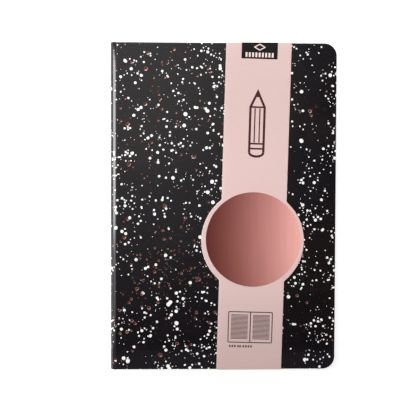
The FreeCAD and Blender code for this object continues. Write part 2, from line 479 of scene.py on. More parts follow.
def cloth_band_material():
    n = Nodes("sewn_band_threads")
    stripes = n.new("TexWave", wave_type="BANDS", bands_direction="Z", wave_profile="SIN")
    n.put(stripes.inputs["Vector"], n.co)
    stripes.inputs["Scale"].default_value = 1000.0 / 1.6 / 20.0 * math.pi * 2.0
    stripes.inputs["Distortion"].default_value = 0.15
    twist = n.noise(2500.0, 3.0, src=n.mapping(rot=(0.6, 0.2, 0)))
    base = n.mix(n.span(stripes.outputs["Fac"], 0.42, 0.58), srgb(40, 37, 40), srgb(228, 222, 214))
    base = n.mix(n.span(twist, 0.3, 0.7, 0.0, 0.3), base, srgb(120, 112, 108))
    n.set(Base_Color=base, Roughness=0.72, Normal=n.bump(twist, 0.00005, 0.6))
    n.b.inputs["Sheen Weight"].default_value = 0.25
    return n.mat


TILT = math.radians(1.556)
BAND_X0 = 19.6
DISC = (18.88, -21.75)
DISC_R = 33.1
FOIL_C = (19.28, -20.99)
FOIL_R = 30.5

M_COVER = cover_material("laminated_cover_paper", 0.15, 0.21)
M_TAUT = cover_material("cover_paper_over_spine", 0.13, 0.17, 1.6)
M_INK = ink_material()
M_FOIL = foil_material("rose_gold_foil_dots", ((0.252, 0.096, 0.077), (0.328, 0.148, 0.122), (0.418, 0.230, 0.198)), 0.8)
# darker copy of the foil for the middles of the larger dots: painted shade of the pressed-in middle
M_FOIL_PAINTED_SHADE = foil_material("rose_gold_foil_painted_shade_middles", ((0.060, 0.012, 0.008), (0.090, 0.022, 0.015), (0.13, 0.040, 0.030)), 0.25)
M_CARD = card_material()
M_EDGE = card_edge_material()
M_DISC = disc_material(TILT, FOIL_C, FOIL_R)
M_LABEL = print_material("label_print", (0.0035, 0.003, 0.0035), (0.006, 0.005, 0.006), 0.5, 0.16)
M_MARK = print_material("label_marks", srgb(222, 196, 193), srgb(236, 212, 208), 0.5)
M_TITLE = print_material("maroon_print", srgb(58, 18, 20), srgb(72, 26, 27), 0.5, 0.25)
M_RULE = print_material("grey_brown_print", srgb(66, 50, 48), srgb(84, 66, 63), 0.45)
M_END = paper_material("endpaper", srgb(211, 204, 190), srgb(220, 214, 201))
M_PAGE = page_material()
M_BOARD = board_material()
M_GAUZE = gauze_material()
M_CLOTH = cloth_band_material()

# ----------------------------------------------------------------- the covers


def c_ring(inset, z, steps=14):
    """Three-sided ring round a cover: head, fore edge and tail, open at the joint."""
    r = max(CORNER - inset, 0.6)
    x1, y1 = XO - inset, YO - inset
    pts = [(XJ, y1, z)]
    for k in range(1, 8):
        pts.append((XJ + (x1 - r - XJ) * k / 8.0, y1, z))
    for k in range(steps + 1):
        a = math.pi / 2 * (1.0 - k / steps)
        pts.append((x1 - r + r * math.cos(a), y1 - r + r * math.sin(a), z))
    for k in range(1, 10):
        pts.append((x1, y1 - r - 2.0 * (y1 - r) * k / 10.0, z))
    for k in range(steps + 1):
        a = -math.pi / 2 * k / steps
        pts.append((x1 - r + r * math.cos(a), -y1 + r + r * math.sin(a), z))
    for k in range(7, -1, -1):
        pts.append((XJ + (x1 - r - XJ) * k / 8.0, -y1, z))
    return pts


def pleated(ring, inset, depth):
    """Small folds in the turned-in paper at the two rounded corners."""
    out = []
    for x, y, z in ring:
        cx, cy = XO - CORNER, math.copysign(YO - CORNER, y)
        if x > cx and abs(y) > abs(cy):
            a = math.atan2(abs(y) - abs(cy), x - cx)
            z -= depth * (0.5 - 0.5 * math.cos(a * 28.0)) * smooth(a / 0.2) * smooth((math.pi / 2 - a) / 0.2)
        out.append((x, y, z))
    return out


def cover_shell():
    """Laminated paper round one board: outer face, rounded edges and turn-ins."""
    zi = Z_TURN + 0.005
    outer, inner = [(EDGE + 0.2, ZO)], [(EDGE + 0.2, ZO - SKIN)]
    ri = EDGE - SKIN
    for k in range(7):
        a = math.pi / 2 * k / 6.0
        outer.append((EDGE - EDGE * math.sin(a), ZO - EDGE * (1 - math.cos(a))))
        inner.append((EDGE - ri * math.sin(a), ZO - EDGE + ri * math.cos(a)))
    for k in range(7):
        a = math.pi / 2 * k / 6.0
        outer.append((EDGE - EDGE * math.cos(a), zi + EDGE * (1 - math.sin(a))))
        inner.append((EDGE - ri * math.cos(a), zi + EDGE - ri * math.sin(a)))
    for d in (EDGE + 0.2, 3.0, 5.5, 14.8, 15.0):
        outer.append((d, zi))
        inner.append((d, zi + SKIN))
    m = Mesh()
    n = len(c_ring(0.0, 0.0))

    def ring(d, z, depth):
        r = c_ring(d, z)
        return pleated(r, d, depth) if depth else r
    k_in = len(outer) - 5
    verts = []
    for k, (d, z) in enumerate(outer):
        verts += ring(d, z, 0.05 if k > k_in - 1 and d < 6 else 0.0)
    for d, z in inner:
        verts += ring(d, z, 0.0)
    K = len(outer)
    faces = [f[::-1] for f in grid_faces(K, n)]
    faces += [tuple(K * n + i for i in f) for f in grid_faces(K, n)]
    last, ilast = (K - 1) * n, (2 * K - 1) * n
    faces += [(last + j, ilast + j, ilast + j + 1, last + j + 1)[::-1] for j in range(n - 1)]
    faces.append(tuple(reversed(range(n))))                       # outer face
    faces.append(tuple(range(K * n, K * n + n)))                  # board side of it
    faces.append((0, n - 1, K * n + n - 1, K * n)[::-1])          # along the joint
    for k in range(K - 1):
        a, b = k * n, (k + 1) * n
        faces.append((a, b, (K + k + 1) * n, (K + k) * n)[::-1])
        a, b = a + n - 1, b + n - 1
        faces.append((a, (K + k) * n + n - 1, (K + k + 1) * n + n - 1, b)[::-1])
    a, b = (K - 1) * n, (2 * K - 1) * n
    m.add(verts, faces)
    return m


shell = cover_shell()
place(shell.build("cover_front", [M_COVER], 40.0), "front_cover", "cover_paper", "front_cover_wrap")
place(shell.mirrored().build("cover_back", [M_COVER], 40.0), "back_cover", "cover_paper", "back_cover_wrap")


# --------------------------------------------------- joints and spine covering
JOINT_T = 0.36


def joint_strip():
    """Doubled paper that bends from the front cover into the spine."""
    phis = [0.0, 0.004] + [math.pi / 2 * k / 26.0 for k in range(1, 26)] + [math.pi / 2 - 0.004, math.pi / 2]
    rows = []
    rho = JOINT_T / 2.0
    ys = [YH * (-1.0 + 2.0 * k / 12.0) for k in range(1, 12)]
    for ph in phis:
        loop = []
        for y in ys:
            loop.append((y, RO))
        for k in range(0, 9):
            a = math.pi / 2 - math.pi * k / 8.0
            loop.append((YH - rho + rho * math.cos(a), RO - rho + rho * math.sin(a)))
        for y in reversed(ys):
            loop.append((y, RO - JOINT_T))
        for k in range(0, 9):
            a = -math.pi / 2 - math.pi * k / 8.0
            loop.append((-YH + rho + rho * math.cos(a), RO - rho + rho * math.sin(a)))
        rows.append([(XJ - r * math.sin(ph), y, ZS1 + r * math.cos(ph)) for y, r in loop])
    n, w = len(rows), len(rows[0])
    m = Mesh()
    faces = [f[::-1] for f in grid_faces(n, w, close_m=True)]
    faces.append(tuple(range(w)))
    faces.append(tuple(reversed(range((n - 1) * w, n * w))))
    m.add([p for r in rows for p in r], faces)
    return m


def outward(m):
    """Turn all faces round if the closed mesh is inside out."""
    v = np.array(m.v)
    vol = 0.0
    for f in m.f:
        a = v[f[0]]
        for i in range(1, len(f) - 1):
            vol += np.dot(a, np.cross(v[f[i]], v[f[i + 1]]))
    if vol < 0:
        m.f = [tuple(reversed(f)) for f in m.f]
    return m


def spine_shell():
    """Covering paper over the spine board, turned in at head and tail."""
    x0, x1 = XS + INK, sboard_lo[0] - 0.005
    x2, x3 = sboard_hi[0] + 0.01, sboard_hi[0] + 0.18
    yb = sboard_hi[1] + 0.01
    r = 0.5
    out, inn = [], []
    for k in range(7):
        a = math.pi - math.pi / 2 * k / 6.0
        out.append((x0 + r + r * math.cos(a), YH - 0.02 - r + r * math.sin(a)))
        inn.append((x1 + 0.02, yb))
    for k in range(7):
        a = math.pi / 2 - math.pi / 2 * k / 6.0
        out.append((x3 - r + r * math.cos(a), YH - 0.02 - r + r * math.sin(a)))
        inn.append((x2, yb))
    half_out = [(x0, 0.0)] + out + [(x3, YH - 15.0)]
    half_in = [(x1, 0.0)] + inn + [(x2, YH - 15.0)]
    # walk the outer line from the tail turn-in to the head turn-in
    walk = [(x, -y) for x, y in reversed(half_out)] + half_out[1:]
    back = [(x, -y) for x, y in reversed(half_in)] + half_in[1:]
    loop, seen = [], None
    for p in walk + back[::-1]:
        if seen is None or math.hypot(p[0] - seen[0], p[1] - seen[1]) > 1e-6:
            loop.append(p)
        seen = p
    zs = [ZS0, ZS0 + 0.02] + [ZS0 + (ZS1 - ZS0) * k / 4.0 for k in range(1, 4)] + [ZS1 - 0.02, ZS1]
    rows = [[(x, y, z) for x, y in loop] for z in zs]
    n, w = len(rows), len(loop)
    m = Mesh()
    m.add([p for r_ in rows for p in r_],
          grid_faces(n, w, close_m=True) + [tuple(range(w)), tuple(reversed(range((n - 1) * w, n * w)))])
    return outward(m)


def joint(ob):
    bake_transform(ob)
    return ob


strip = outward(joint_strip())
joint(strip.build("joint_front", [M_TAUT], 60.0))
joint(strip.mirrored().build("joint_back", [M_TAUT], 60.0))
place(spine_shell().build("spine_panel", [M_TAUT], 50.0), "block", "cover_paper", "spine_wrap")

# -------------------------------------------------------------- printed speckles
# The covering paper is one printed sheet. u runs along it from the front joint
# line (u = 0) to the fore edge, and below zero over the joint, spine and back.
ARC = RO * math.pi / 2
SPN = ZS1 - ZS0
U_BACK = -(2 * ARC + SPN)
U_FLAT = XO - EDGE - XJ
Y_FLAT = YO - EDGE
ZI = Z_TURN + 0.005
E_A = EDGE * math.pi / 2
E_H = ZO - ZI - 2 * EDGE
RIM = 2.6
S_MAX = 2 * E_A + E_H + RIM


def over_edge(s):
    """Inset, z and normal (out, up) at a length s past the start of the edge's rounding."""
    if s < 0:
        return EDGE - s, ZO, 0.0, 1.0
    if s < E_A:
        a = s / EDGE
        return EDGE * (1 - math.sin(a)), ZO - EDGE * (1 - math.cos(a)), math.sin(a), math.cos(a)
    if s < E_A + E_H:
        return 0.0, ZO - EDGE - (s - E_A), 1.0, 0.0
    if s < 2 * E_A + E_H:
        a = (s - E_A - E_H) / EDGE
        return EDGE * (1 - math.cos(a)), ZI + EDGE * (1 - math.sin(a)), math.cos(a), -math.sin(a)
    return EDGE + (s - 2 * E_A - E_H), ZI, 0.0, -1.0


def on_face(u, y, t):
    """A point t above the front cover's paper."""
    su, sy = u - U_FLAT, abs(y) - Y_FLAT
    if su > 0:
        d, z, no, nu = over_edge(su)
        return (XO - d + no * t, y, z + nu * t)
    if sy > 0:
        d, z, no, nu = over_edge(sy)
        s = math.copysign(1.0, y)
        return (XJ + u, s * (YO - d + no * t), z + nu * t)
    return (XJ + u, y, ZO + t)


def on_sheet(u, y, t):
    if u >= 0:
        return on_face(u, y, t)
    if u >= -ARC:
        a = -u / RO
        return (XJ - (RO + t) * math.sin(a), y, ZS1 + (RO + t) * math.cos(a))
    if u >= -ARC - SPN:
        return (XJ - RO - t, y, ZS1 - (-u - ARC))
    if u >= U_BACK:
        a = (-u - ARC - SPN) / RO
        return (XJ - (RO + t) * math.cos(a), y, ZS0 - (RO + t) * math.sin(a))
    x, yy, z = on_face(U_BACK - u, y, t)
    return (x, yy, T - z)


def cut(poly, axis, limit, keep_above):
    out = []
    n = len(poly)
    for i in range(n):
        a, b = poly[i], poly[(i + 1) % n]
        da = (a[axis] - limit) * (1 if keep_above else -1)
        db = (b[axis] - limit) * (1 if keep_above else -1)
        if da >= 0:
            out.append(a)
        if (da > 0 and db < 0) or (da < 0 and db > 0):
            k = da / (da - db)
            out.append((a[0] + (b[0] - a[0]) * k, a[1] + (b[1] - a[1]) * k))
    if sum(abs(p[axis] - limit) < 1e-7 for p in out) > 2:   # the cut ran through the waist of a double drop
        out = hull(out)
    return out


def area(poly):
    return 0.5 * sum(poly[i][0] * poly[(i + 1) % len(poly)][1] - poly[(i + 1) % len(poly)][0] * poly[i][1]
                     for i in range(len(poly)))


def hull(poly):
    """The convex outline, turning the same way round as poly."""
    def side(pts):
        h = []
        for p in pts:
            while len(h) > 1 and ((h[-1][0] - h[-2][0]) * (p[1] - h[-2][1])
                                  - (h[-1][1] - h[-2][1]) * (p[0] - h[-2][0])) <= 1e-9:
                h.pop()
            h.append(p)
        return h[:-1]
    pts = sorted(poly)
    out = side(pts) + side(pts[::-1])
    return out if area(poly) > 0 else out[::-1]


def within(poly, axis, lo, hi):
    if poly and lo is not None:
        poly = cut(poly, axis, lo, True)
    if poly and hi is not None:
        poly = cut(poly, axis, hi, False)
    poly = [p for i, p in enumerate(poly) if math.dist(p, poly[i - 1]) > 0.002]
    return poly if len(poly) >= 3 and abs(area(poly)) > 0.002 else []


SHEET = {k: Mesh() for k in ("front", "joint_front", "spine", "joint_back", "back")}
FOILS = {k: Mesh() for k in SHEET}
E_CUTS = [0.0] + [E_A * k / 3.0 for k in (1, 2, 3)] + [E_A + E_H] + \
         [E_A + E_H + E_A * k / 3.0 for k in (1, 2, 3)] + [S_MAX]


def lay(mesh, poly, t):
    top = [on_sheet(u, y, t) for u, y in poly]
    low = [on_sheet(u, y, -0.01) for u, y in poly]
    prism(mesh, top, low)


def lay_face(mesh, poly, t, back):
    """Ink on a cover, folded over its edges. poly is on the sheet, already cut at the joint."""
    def flip(p):
        return [(U_BACK - u, y) for u, y in p] if back else p
    f = flip(poly)
    umax = max(p[0] for p in f)
    ymax, ymin = max(p[1] for p in f), min(p[1] for p in f)
    far = max(abs(ymax), abs(ymin))
    if umax > U_FLAT - (CORNER - EDGE) and far > Y_FLAT - (CORNER - EDGE):
        cx, cy, r = U_FLAT - (CORNER - EDGE), Y_FLAT - (CORNER - EDGE), CORNER - EDGE
        if any(p[0] > cx and abs(p[1]) > cy and math.hypot(p[0] - cx, abs(p[1]) - cy) > r - 0.05 for p in f):
            return
        if umax > U_FLAT or far > Y_FLAT:
            return
        lay(mesh, poly, t)
        return
    if umax > U_FLAT:
        pieces = [within(f, 0, None, U_FLAT)]
        pieces += [within(f, 0, U_FLAT + a, U_FLAT + b) for a, b in zip(E_CUTS, E_CUTS[1:])]
    elif far > Y_FLAT:
        if ymax > Y_FLAT:
            pieces = [within(f, 1, None, Y_FLAT)]
            pieces += [within(f, 1, Y_FLAT + a, Y_FLAT + b) for a, b in zip(E_CUTS, E_CUTS[1:])]
        else:
            pieces = [within(f, 1, -Y_FLAT, None)]
            pieces += [within(f, 1, -Y_FLAT - b, -Y_FLAT - a) for a, b in zip(E_CUTS, E_CUTS[1:])]
    else:
        pieces = [f]
    for p in pieces:
        if p:
            # keep mapped points on their own side of each fold
            cu = sum(q[0] for q in p) / len(p)
            cy = sum(q[1] for q in p) / len(p)
            p = [(q[0] + (cu - q[0]) * 1e-5, q[1] + (cy - q[1]) * 1e-5) for q in p]
            lay(mesh, flip(p), t)


def ink(poly, t):
    us = [p[0] for p in poly]
    lo, hi = min(us), max(us)
    y_lim = YH - 0.2
    if hi > 0:
        p = within(poly, 0, 0.0, None)
        if p:
            lay_face(SHEET["front"], p, t, False)
    if lo < U_BACK:
        p = within(poly, 0, None, U_BACK)
        if p:
            lay_face(SHEET["back"], p, t, True)
    if lo < 0 and hi > U_BACK:
        body = within(within(poly, 1, -y_lim, y_lim), 0, U_BACK, 0.0)
        if not body:
            return
        for name, a, b, k in (("joint_front", -ARC, 0.0, 12), ("spine", -ARC - SPN, -ARC, 1),
                              ("joint_back", U_BACK, -ARC - SPN, 12)):
            for i in range(k):
                q0, q1 = a + (b - a) * i / k, a + (b - a) * (i + 1) / k
                if hi > q0 and lo < q1:
                    p = within(body, 0, q0, q1)
                    if p:
                        lay(SHEET[name], p, t)


def blot(circles, wobble, n):
    """Outline of one or more touching drops, as seen from their middle."""
    tot = sum(r * r for _, _, r in circles)
    cx = sum(x * r * r for x, _, r in circles) / tot
    cy = sum(y * r * r for _, y, r in circles) / tot
    neck = 0.62 * min(r for _, _, r in circles) if len(circles) > 1 else 0.0
    pts = []
    for k in range(n):
        a = 2 * math.pi * k / n
        best = neck
        for x, y, r in circles:
            dx, dy = x - cx, y - cy
            proj = dx * math.cos(a) + dy * math.sin(a)
            perp2 = dx * dx + dy * dy - proj * proj
            if perp2 < r * r:
                best = max(best, proj + math.sqrt(r * r - perp2))
        best *= 1 + wobble[0] * math.cos(2 * a + wobble[1]) + wobble[2] * math.cos(3 * a + wobble[3])
        pts.append((cx + best * math.cos(a), cy + best * math.sin(a)))
    return pts


def dish(name, u, y, r, wobble, n=20):
    """A hot-stamped foil dot: pressed in, so its middle lies lower than its rim."""
    mesh = FOILS[name]
    rings = [(0.0, 1), (0.42, n), (0.7, n), (1.0, n)]
    t_rim, depth = 0.036, 0.031
    verts, lean = [], []
    for q, k in rings:
        for i in range(k):
            a = 2 * math.pi * i / n
            rr = r * q * (1 + wobble[0] * math.cos(2 * a + wobble[1]) + wobble[2] * math.cos(3 * a + wobble[3]))
            p = (u + rr * math.cos(a), y + rr * math.sin(a))
            verts.append(on_sheet(*p, t_rim - depth * (1 - q * q)))
            up = np.subtract(on_sheet(*p, 0.5), on_sheet(*p, 0.0))
            away = np.subtract(on_sheet(p[0] + 0.01 * math.cos(a), p[1] + 0.01 * math.sin(a), 0.0), on_sheet(*p, 0.0))
            way = up / np.linalg.norm(up) - PRESS * q * away / np.linalg.norm(away)
            lean.append(way / np.linalg.norm(way))
    for i in range(n):
        a = 2 * math.pi * i / n
        rr = r * (1 + wobble[0] * math.cos(2 * a + wobble[1]) + wobble[2] * math.cos(3 * a + wobble[3]))
        verts.append(on_sheet(u + rr * math.cos(a), y + rr * math.sin(a), t_rim))
    for i in range(n):
        a = 2 * math.pi * i / n
        rr = r * (1 + wobble[0] * math.cos(2 * a + wobble[1]) + wobble[2] * math.cos(3 * a + wobble[3]))
        verts.append(on_sheet(u + rr * math.cos(a), y + rr * math.sin(a), -0.01))
    faces = [(0, 1 + i, 1 + (i + 1) % n) for i in range(n)]
    for q in (0, 1, 3):
        a, b = 1 + q * n, 1 + (q + 1) * n
        faces += [(a + i, b + i, b + (i + 1) % n, a + (i + 1) % n) for i in range(n)]
    faces.append(tuple(reversed(range(1 + 4 * n, 1 + 5 * n))))
    # the middle fan of each larger dot takes the darker foil copy, a painted shade
    k = mesh.add(verts, faces, [1 if r > 0.72 and i < n else 0 for i in range(len(faces))])
    for i, way in enumerate(lean):
        mesh.n[k + i] = tuple(way)


PRESS = 0.27            # slope of the dish at its rim
rng = random.Random(20417)
WAVES = [(rng.uniform(-1, 1) / rng.uniform(9, 22), rng.uniform(-1, 1) / rng.uniform(9, 22), rng.uniform(0, 6.28))
         for _ in range(7)]


def bare(u, y):
    """1 in the middle of the barest place on the front, 0 away from it."""
    return math.exp(-((u - 36.0) / 21.0) ** 2 - ((y + 38.0) / 17.0) ** 2)


def thick(u, y):
    """How crowded the drops are here, 0 to about 1."""
    s = sum(math.cos(2 * math.pi * (a * u + b * y) * 0.55 + c) for a, b, c in WAVES)
    return 0.5 + s / 7.0 - 0.55 * bare(u, y)


U0, U1 = U_BACK - U_FLAT - S_MAX, U_FLAT + S_MAX
Y1 = Y_FLAT + S_MAX
SHEET_AREA = (U1 - U0) * 2 * Y1
SIZES = [(0.20, 0.44, 0.04), (0.19, 0.53, 0.05), (0.12, 0.74, 0.06), (0.17, 0.98, 0.07), (0.14, 1.22, 0.08),
         (0.06, 1.46, 0.08), (0.055, 1.72, 0.09), (0.041, 1.98, 0.1), (0.017, 2.3, 0.1), (0.007, 2.65, 0.05)]


def drop_radius():
    q = rng.random()
    for share, d, s in SIZES:
        if q < share:
            break
        q -= share
    return max(0.21, rng.gauss(d, s) / 2.0)


placed = {}


def near_by(u, y):
    i, j = int(u // 4), int(y // 4)
    for a in (-1, 0, 1):
        for b in (-1, 0, 1):
            yield from placed.get((i + a, j + b), ())


def remember(u, y, r, kind):
    placed.setdefault((int(u // 4), int(y // 4)), []).append((u, y, r, kind))


def under_band(u, y, r):
    """Dots wholly under the paper band are never seen, so they are left out."""
    if u < 0:
        return False
    x = XJ + u
    off = abs(x - BAND_X0 - math.tan(TILT) * y)
    return off < 19.0 - r or math.hypot(x - DISC[0], y - DISC[1]) < DISC_R - 2.0 - r


WHITE = 0.0556 * SHEET_AREA
spots = []
while len(spots) < WHITE * 1.5:
    u, y = rng.uniform(U0, U1), rng.uniform(-Y1, Y1)
    if rng.random() > 0.22 + 0.78 * smooth((thick(u, y) - 0.12) / 0.62):
        continue
    group = 1 if rng.random() < 0.70 else rng.randint(2, 4)
    for g in range(group):
        if g:
            u += rng.gauss(0, 2.7)
            y += rng.gauss(0, 2.7)
        spots.append((u, y))

made = 0
for u, y in spots:
    if made >= WHITE:
        break
    r = drop_radius()
    q = rng.random()
    wob = (rng.uniform(0, 0.05), rng.uniform(0, 6.28), rng.uniform(0, 0.03), rng.uniform(0, 6.28))
    t = rng.uniform(0.024, 0.036)
    circles = [(u, y, r)]
    a = rng.uniform(0, 2 * math.pi)
    if q < 0.07 and r > 0.4:                                # two drops run together
        r2 = r * rng.uniform(0.7, 1.0)
        d = (r + r2) * rng.uniform(0.72, 0.94)
        circles.append((u + d * math.cos(a), y + d * math.sin(a), r2))
    elif q < 0.10 and r > 0.55:                             # a drop with a tail
        r2 = r * rng.uniform(0.32, 0.5)
        d = r * rng.uniform(1.15, 1.6)
        circles.append((u + d * math.cos(a), y + d * math.sin(a), r2))
    elif q < 0.24:                                          # slightly long drop
        wob = (rng.uniform(0.06, 0.12 + 0.08 * min(1.0, r)), rng.uniform(0, 6.28), wob[2], wob[3])
    clash = False
    for pu, py, pr, _ in near_by(u, y):
        d = math.hypot(u - pu, y - py)
        if d < 1.05 * (r + pr) + (0.32 if r < 0.42 or pr < 0.42 else 0.0) and not (
                r > 0.42 and rng.random() < 0.13 and d > 0.6 * (r + pr)):
            clash = True
            break
    if clash:
        continue
    made += 1
    for cu, cy, cr in circles:
        remember(cu, cy, cr, "w")
    if under_band(u, y, r * 2.4):
        continue
    n = 34 if len(circles) > 1 else max(12, min(24, int(9 + 11 * r)))
    ink(blot(circles, wob, n), t)

COPPER = 0.0160 * SHEET_AREA
made = tries = 0
while made < COPPER and tries < 40000:
    tries += 1
    u, y = rng.uniform(U0, U1), rng.uniform(-Y1, Y1)
    few = smooth((0.52 - thick(u, y)) / 0.5)              # small copper specks fill the barer places
    fore = 1.0 - 0.85 * smooth((u - 58.0) / 42.0)         # and thin out towards the fore edge
    if rng.random() > (0.25 + 0.75 * few) * (0.3 + 0.7 * bare(u, y)) * fore:
        continue
    q = rng.random()
    q = q ** (1.0 + 1.1 * few + 1.3 * bare(u, y))
    d = (0.64 if q < 0.22 else 0.9 if q < 0.42 else 1.2 if q < 0.62 else 1.55 if q < 0.79 else 1.95 if q < 0.89 else
         2.35 if q < 0.965 else 2.7)
    r = d / 2 * rng.uniform(0.92, 1.08)
    wob = (rng.uniform(0, 0.07), rng.uniform(0, 6.28), rng.uniform(0, 0.04), rng.uniform(0, 6.28))
    made += 1
    if any(math.hypot(u - pu, y - py) < (0.85 if k == "c" else 0.6) * (r + pr) for pu, py, pr, k in near_by(u, y)):
        continue
    reach = r * 1.12
    if min(abs(u - k) for k in (0.0, -ARC, -ARC - SPN, U_BACK)) < reach:
        continue
    name = ("front" if u > 0 else "joint_front" if u > -ARC else "spine" if u > -ARC - SPN
            else "joint_back" if u > U_BACK else "back")
    if name in ("front", "back"):
        f = u if name == "front" else U_BACK - u
        if f > U_FLAT - reach or abs(y) > Y_FLAT - reach:
            continue
        cx, cy = U_FLAT - (CORNER - EDGE), Y_FLAT - (CORNER - EDGE)
        if f > cx and abs(y) > cy and math.hypot(f - cx, abs(y) - cy) > CORNER - EDGE - reach:
            continue
    elif abs(y) > YH - 0.3 - reach:
        continue
    remember(u, y, r, "c")
    if under_band(u, y, r * 1.3):
        continue
    dish(name, u, y, r, wob, n=12 if r < 0.5 else 16 if r < 0.7 else 20)

BODY = {"front": "front_cover", "spine": "block", "back": "back_cover"}
for name in SHEET:
    for kind, meshes, mats, sharp in (("ink", SHEET, [M_INK], 30.0), ("foil", FOILS, [M_FOIL, M_FOIL_PAINTED_SHADE], 40.0)):
        if not meshes[name].f:
            continue
        ob = meshes[name].build(f"{kind}_{name}", mats, sharp)
        if name in BODY:
            place(ob, BODY[name], "cover_paper")
        else:
            joint(ob)

# ------------------------------------------------------------------- endpapers
PAPER = 0.145


def sheet_rows(y_half, x1, r, count=64):
    """Row positions up the sheet, closer together at its rounded corners."""
    ys = []
    for k in range(9):
        a = math.pi / 2 * k / 8.0
        ys.append(y_half - r + r * math.sin(a))
    step = [y_half - r - (y_half - r) * 2 * k / count for k in range(1, count)]
    return sorted([-v for v in ys] + step + ys)


def x_end(y, y_half, x1, r):
    k = abs(y) - (y_half - r)
    return x1 if k <= 0 else x1 - r + math.sqrt(max(0.0, r * r - k * k))


def thin_sheet(line, y_half, x1, r, height, rows=None):
    """Closed sheet of paper. line is the path (x, z) of its hinge side, from the fold
    to where it lies flat; height(x, y) is its middle surface beyond that."""
    ys = rows or sheet_rows(y_half, x1, r)
    x_flat = line[-1][0]
    xs = sorted(set([x_flat + 1.0, x_flat + 3.0] + list(np.linspace(x_flat + 8, x1 - 16, 16)) +
                    [x1 - 14.5, x1 - 14.0, x1 - 13.5, x1 - 13.0, x1 - 12.5, x1 - 12.0, x1 - 11.5, x1 - 11.0, x1 - 10.0]))
    h = PAPER / 2
    up, lo = [], []
    for y in ys:
        xe = x_end(y, y_half, x1, r)
        mid = [(x, height(x, y, z)) for x, z in line]
        mid += [(x, height(x, y, None)) for x in xs]
        tail = [x1 - 10.0 + (xe - x1 + 10.0) * k / 5.0 for k in range(1, 6)]
        mid += [(x, height(x, y, None)) for x in tail]
        row_u, row_l = [], []
        for i, (x, z) in enumerate(mid):
            a, b = mid[max(0, i - 1)], mid[min(len(mid) - 1, i + 1)]
            dx, dz = b[0] - a[0], b[1] - a[1]
            k = math.hypot(dx, dz)
            nx, nz = -dz / k, dx / k
            row_u.append((x + nx * h, y, z + nz * h))
            row_l.append((x - nx * h, y, z - nz * h))
        # round nose at the fold
        (ax, az), (bx, bz) = mid[0], mid[1]
        k = math.hypot(bx - ax, bz - az)
        tx, tz = (bx - ax) / k, (bz - az) / k
        nose = []
        for q in range(1, 6):
            a = math.pi / 2 + math.pi * q / 6.0
            nose.append((ax + h * (math.cos(a) * tx - math.sin(a) * tz), y, az + h * (math.cos(a) * tz + math.sin(a) * tx)))
        up.append(row_u)
        lo.append((row_l, nose))
    rows_all = [list(reversed(u)) + n + l for u, (l, n) in zip(up, lo)]
    n, w = len(rows_all), len(rows_all[0])
    m = Mesh()
    m.add([p for r_ in rows_all for p in r_],
          grid_faces(n, w, close_m=True) + [tuple(range(w)), tuple(reversed(range((n - 1) * w, n * w)))])
    return outward(m)


PY, PX = paste_hi[1], paste_hi[0]
PR = CORNER - 3.0
BY, BX = block_hi[1], block_hi[0]
BR = 6.0


def stepped(z_low, painted_light_rise):
    """The glued half lies on the turn-ins round its rim and on the board inside them."""
    def f(x, y, z):
        if z is not None:
            base = z
            kx = 1.0
            if x < XJ - 0.01:
                return base
        else:
            base = z_low
            kx = smooth((XF - 14.6 - x) / 1.6)
        ky = smooth((YH - 14.6 - abs(y)) / 1.6)
        return base + painted_light_rise * kx * ky
    return f


# front: glued half, from the fold on the hinge line to the fore edge
zp = paste_lo[2] + 0.005 + PAPER / 2
zf = fly_hi[2] - 0.003 - PAPER / 2
ax, az = AF[0], AF[2]
line = [(ax, az), (ax + 0.4, az + 0.01), (ax + 0.8, az - 0.03), (ax + 1.3, az - 0.04), (ax + 1.8, az + 0.04),
        (ax + 2.4, zp - 0.06), (XJ, zp)]
place(thin_sheet(line, PY, PX, PR, stepped(zp, 0.19)).build("endpaper_front_paste", [M_END], 40.0),
      "front_cover", "endpaper", "front_pastedown")
line = [(ax, az), (ax + 0.25, az - 0.05), (ax + 0.55, zf + 0.10), (ax + 0.9, zf + 0.02), (ax + 1.3, zf), (ax + 3.0, zf)]
place(thin_sheet(line, BY, BX, BR, lambda x, y, z: zf if z is None else z).build("endpaper_front_fly", [M_END], 40.0),
      "block", "endpaper", "front_flyleaf")
# back: the same two halves the other way up
ax, az = AB[0], AB[2]
zp = bpaste_hi[2] - 0.005 - PAPER / 2
zf = bfly_lo[2] + 0.003 + PAPER / 2
line = [(ax, az), (ax + 0.6, az - 0.02), (ax + 1.4, zp + 0.01), (XJ, zp)]
place(thin_sheet(line, PY, PX, PR, stepped(zp, -0.19)).build("endpaper_back_paste", [M_END], 40.0),
      "back_cover", "endpaper", "back_pastedown")
line = [(ax, az), (ax + 0.3, az + 0.04), (ax + 0.6, zf - 0.01), (ax + 1.0, zf), (ax + 3.0, zf)]
place(thin_sheet(line, BY, BX, BR, lambda x, y, z: zf if z is None else z).build("endpaper_back_fly", [M_END], 40.0),
      "block", "endpaper", "back_flyleaf")

